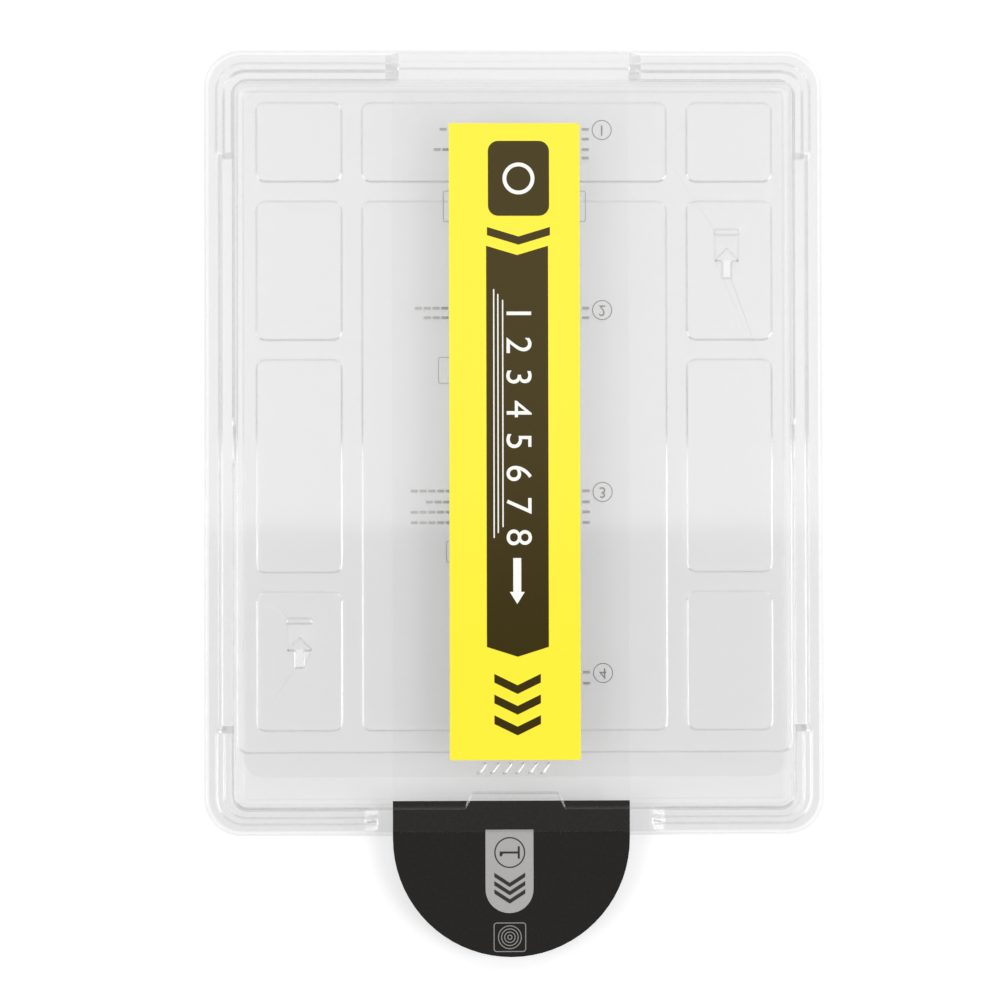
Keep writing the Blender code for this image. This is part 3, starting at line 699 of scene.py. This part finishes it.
def print_number(name, number, size, x, y, turn, bottom, ink, body, face_down=False):
    """Prints a number, centred, turned by degrees, and seen from behind if it faces down."""
    text = bpy.data.curves.new(name, "FONT")
    text.body = str(number)
    text.size = size * MM
    text.align_x, text.align_y = "CENTER", "CENTER"
    text.dimensions = "2D"
    text.extrude = INK * MM / 2
    text.materials.append(ink)
    layer = bpy.data.objects.new(name, text)
    bpy.context.scene.collection.objects.link(layer)
    layer.location = (x * MM, y * MM, (bottom + INK / 2) * MM)
    layer.rotation_euler = (math.pi if face_down else 0, 0, math.radians(turn))
    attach(layer, body)
    return layer


# %% [markdown]
# ## The label's print
# A dark rounded square, a V, and a long dark band with V-shaped ends, all slightly right of the
# label's middle. The square is left with a plain ring. On the band are three thin lines, a scale of
# numbers that reads down the label, and an arrow towards the near end.

# %% Print the label
label_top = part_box("guide_label")[1].z / MM + 0.01
band_top = label_top + INK + 0.01
square = rounded_rectangle(-10.2, 13.5, 87.4, 116.5, 4.0)
print_shapes("label_square", [square], label_top, brown_ink, "top")
print_shapes("label_square_ring", ring(1.65, 101.9, 6.2, 1.5), band_top, white_ink, "top")
print_shapes("label_chevron", [chevron(1.6, 12.2, 83.1, 3.7, 3.2)], label_top, brown_ink, "top")
band = [(-10.95, 75.8), (-10.95, -79.6), (1.05, -83.4), (13.05, -79.6), (13.05, 75.8), (1.05, 72.2)]
print_shapes("label_band", [band], label_top, brown_ink, "top")
lines = [rectangle(x - 0.25, x + 0.25, near, far)
         for x, near, far in ((-8.05, -37.4, 59.0), (-6.45, -35.5, 57.1), (-4.6, -33.2, 54.8))]
print_shapes("label_lines", lines, band_top, white_ink, "top")
for number in range(1, 9):
    print_number(f"label_number_{number}", number, 14.0, 1.1, 62.0 - 12.4 * number, -90, band_top,
                 white_ink, "top")
arrow = [(-0.7, -45.2), (-0.7, -58.3), (-2.05, -58.3), (0.85, -63.0), (3.75, -58.3), (2.4, -58.3),
         (2.4, -45.2)]
print_shapes("label_arrow", [arrow], band_top, white_ink, "top")
near_marks = [chevron(0.9, 9.0, side, 4.4, 3.4) for side in (-90.0, -98.0, -106.0)]
print_shapes("label_near_chevrons", near_marks, label_top, brown_ink, "top")
print("label print lies at", round(label_top, 2), "mm")

# %% [markdown]
# ## The tab's print
# The tag carries a circled 1, the first step, and three V marks that say which way to pull. Below it
# a grey frame with rings says where the finger goes.

# %% Print the tag and the tab
tag_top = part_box("tab_tag")[1].z / MM + 0.01
tab_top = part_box("pull_tab")[1].z / MM + 0.01
tag_x, circle_y = -2.2, -159.3
print_shapes("tag_ring", ring(tag_x, circle_y, 6.0, 0.5), tag_top, black_ink, "strip")
one = [(-3.9, -0.4), (-3.9, -1.5), (-3.1, -1.5), (-2.6, -0.4), (3.1, -0.4), (3.1, -2.4), (3.9, -2.4),
       (3.9, 2.4), (3.1, 2.4), (3.1, 0.4), (-3.9, 0.4)]
one = [(tag_x + x, circle_y + y) for x, y in one]
print_shapes("tag_number", [one], tag_top, black_ink, "strip")
marks = [chevron(tag_x, 6.0, side, 3.9, 1.7) for side in (-167.1, -170.3, -173.5)]
print_shapes("tag_chevrons", marks, tag_top, black_ink, "strip")
frame_outer = rounded_rectangle(tag_x - 6.3, tag_x + 6.3, -197.8, -186.4, 1.2, 4)
touch_frame = [frame_outer, shrink(frame_outer, 0.35)]
print_shapes("tab_touch_frame", touch_frame, tab_top, grey_ink, "strip")
touch_rings = [outline for r in (4.6, 3.4, 2.2, 1.0) for outline in ring(tag_x, -192.1, r, 0.35)]
print_shapes("tab_touch_rings", touch_rings, tab_top, grey_ink, "strip")
print("tab print done")

# %% [markdown]
# ## The strip's print
# The strip is printed in grey on its underside, so through the roof the print reads mirrored: four
# circled step numbers, short bars where the lines of instructions stand, and three plain frames where
# the pictures are. The numbers face down.

# %% Print the strip
strip_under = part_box("pull_strip")[0].z / MM - INK - 0.01
number_x = 34.2
for number, y in enumerate((121.2, 51.1, -19.6, -89.9), start=1):
    circle = ring(number_x, y, 3.9, 0.35)
    print_shapes(f"strip_ring_{number}", circle, strip_under, grey_ink, "strip")
    print_number(f"strip_number_{number}", number, 6.0, number_x, y, 0, strip_under, grey_ink, "strip",
                 face_down=True)
BAR, BAR_GAP, BAR_HEIGHT = 2.8, 0.6, 1.1
LINES = (  # where the lines of words stand: their far edge, and how far each reaches from the label
    (122.0, 3.6, 3.3), (118.2, 0, 3.6), (114.1, 5.9, 3.2), (110.8, 0, 3.2),
    (52.4, 13.3, 3.6), (48.7, 9.8, 3.2),
    (-18.6, 15.0, 3.4), (-22.9, 9.2, 3.4), (-26.8, 15.0, 3.4), (-30.9, 15.0, 3.4),
    (-89.0, 0, 3.4), (-93.3, 0, 3.4),
)
words = []
for far, left, right in LINES:
    spans = [(-25.3 - left, -25.3)] if left else []
    for start, end in [*spans, (26.4, 26.4 + right)]:
        while start < end - 1:
            stop = min(start + BAR, end)
            words.append(rectangle(start, stop, far - BAR_HEIGHT, far))
            start = stop + BAR_GAP
print_shapes("strip_words", words, strip_under, pale_ink, "strip")
frames = []
for span in ((-27.6, 28.0, 85.4, 97.6), (-29.6, 6.0, 22.5, 32.9), (-26.7, 6.0, -47.0, -38.5)):
    outer = rounded_rectangle(*span, 1.0, 4)
    frames += [outer, shrink(outer, 0.35)]
print_shapes("strip_pictures", frames, strip_under, pale_ink, "strip")
print("strip print done")

# %% [markdown]
# ## Floor
# The photograph's background is pure white, yet the box still rests on something. A sheet of white
# paper does both: it takes the lamps' light and the box's shadow, and a little extra glow, which only
# the camera, mirrors and glass see, lifts it to white without putting more light on the object.

# %% The paper floor
FLOOR_HALF, FLOOR_GLOW = 4, 0.52


def make_floor():
    """A wide sheet of white paper under the box."""
    material, tree, place = empty_material("white_paper_backdrop")
    fibres = add_node(tree, "ShaderNodeTexNoise", {"Vector": place, "Scale": 1 / (2.5 * MM), "Detail": 3.0})
    paper = add_node(tree, "ShaderNodeMix", {"Factor": fibres.outputs["Fac"]}, data_type="RGBA")
    paper.inputs[6].default_value = linear("c4c4c4")
    paper.inputs[7].default_value = linear("c6c6c6")
    rays = add_node(tree, "ShaderNodeLightPath").outputs
    seen = rays["Is Camera Ray"]
    for ray in ("Is Glossy Ray", "Is Transmission Ray"):
        seen = add_node(tree, "ShaderNodeMath", {0: seen, 1: rays[ray]}, operation="MAXIMUM").outputs[0]
    glow = add_node(tree, "ShaderNodeMath", {0: seen, 1: FLOOR_GLOW}, operation="MULTIPLY")
    diffuse = add_node(tree, "ShaderNodeBsdfDiffuse", {"Color": paper.outputs[2]})
    light = add_node(tree, "ShaderNodeEmission", {"Strength": glow.outputs[0]})
    both = add_node(tree, "ShaderNodeAddShader", {0: diffuse.outputs[0], 1: light.outputs[0]})
    add_node(tree, "ShaderNodeOutputMaterial", {"Surface": both.outputs[0]})
    data = bpy.data.meshes.new("floor")
    corners = [(x * FLOOR_HALF, y * FLOOR_HALF, 0) for x, y in ((-1, -1), (1, -1), (1, 1), (-1, 1))]
    data.from_pydata(corners, [], [(0, 1, 2, 3)])
    data.materials.append(material)
    floor = bpy.data.objects.new("floor", data)
    floor.location.z = -0.02 * MM
    bpy.context.scene.collection.objects.link(floor)
    floor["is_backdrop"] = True
    return floor


floor = make_floor()
print("floor:", [round(v, 1) for v in floor.dimensions], "m")

# %% [markdown]
# ## Lamps
# Clear plastic is shown by what it mirrors. In the photograph the upper half of the roof mirrors a
# large soft panel and the lower half a dark studio, with a level border between them, so one panel
# hangs overhead and ends just behind the box's middle. The world gives the rest of the studio a dim
# even light, and dim panels on the far wall and on both sides of the far half keep the rim's bends
# pale. Two soft lamps stand at the far corners, where no straight edge mirrors them, and give the print
# its light. Two tall ones at the sides draw bright lines down the edges of the lower panels.
# A lamp's energy is worked out from how bright its face should look, so that it can be compared with
# the floor's white, which is 1.

# %% World and lamps
scene = bpy.context.scene
scene.world = bpy.data.worlds.new("dim_studio")
scene.world.use_nodes = True
sky = scene.world.node_tree.nodes["Background"]
sky.inputs["Color"].default_value = linear("ffffff")
sky.inputs["Strength"].default_value = 0.18


def hang_lamp(name, place, target, width, length, brightness):
    """Adds a soft rectangular lamp that faces a target, with a face of the given brightness."""
    lamp = bpy.data.lights.new(name, "AREA")
    lamp.shape, lamp.size, lamp.size_y = "RECTANGLE", width, length
    lamp.energy = brightness * math.pi * width * length
    holder = bpy.data.objects.new(name, lamp)
    holder.location = place
    holder.rotation_euler = (Vector(target) - Vector(place)).to_track_quat("-Z", "Y").to_euler()
    holder.visible_camera = False
    scene.collection.objects.link(holder)
    return holder


hang_lamp("overhead_panel", (0, 0.98, 1.9), (0, 0.98, 0), 2.6, 2.0, 0.72)
hang_lamp("far_right_lamp", (1.3, 1.3, 1.2), (0, 0, 0), 0.9, 0.9, 2.7)
hang_lamp("far_left_lamp", (-1.3, 1.3, 1.2), (0, 0, 0), 0.9, 0.9, 2.1)
hang_lamp("far_wall_panel", (0, 2.3, 1.0), (0, 0, 0), 3.2, 1.9, 0.65)
hang_lamp("right_wall_panel", (2.3, 1.1, 1.0), (0, 1.1, 0), 1.9, 1.9, 0.5)
hang_lamp("left_wall_panel", (-2.3, 1.1, 1.0), (0, 1.1, 0), 1.9, 1.9, 0.5)
hang_lamp("right_side_lamp", (1.5, -0.60, 1.0), (0, -0.60, 0), 1.3, 1.4, 4.0)
hang_lamp("left_side_lamp", (-1.5, -0.60, 1.0), (0, -0.60, 0), 1.3, 1.4, 2.9)

# %% [markdown]
# ## Camera
# The camera hangs 1.5 m over the box and looks almost straight down with a long lens. Its place and
# its small tilt were fitted to the photograph from the corners of the box and its panels. Clear
# layers count against a limit on how many a ray may pass, so that limit is raised.

# %% Camera and render settings
camera = bpy.data.objects.new("camera", bpy.data.cameras.new("camera"))
camera.location = (-0.0430, -0.0440, 1.509)
camera.rotation_euler = [math.radians(angle) for angle in (0.817, -1.423, -0.123)]
camera.data.lens, camera.data.sensor_width, camera.data.clip_end = 139.28, 36, 20
scene.collection.objects.link(camera)
scene.camera = camera
scene.view_settings.view_transform = "Standard"
scene.cycles.max_bounces = 8
scene.cycles.diffuse_bounces = 2
scene.cycles.glossy_bounces = 4
scene.cycles.transparent_max_bounces = 48
print("camera height:", round(camera.location.z, 3), "m")

# %% Print the sizes and finish
visual_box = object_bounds()
both_boxes = (*cad_box, *visual_box)
print("CAD box and visual box:", [[round(v / MM, 1) for v in corner] for corner in both_boxes])
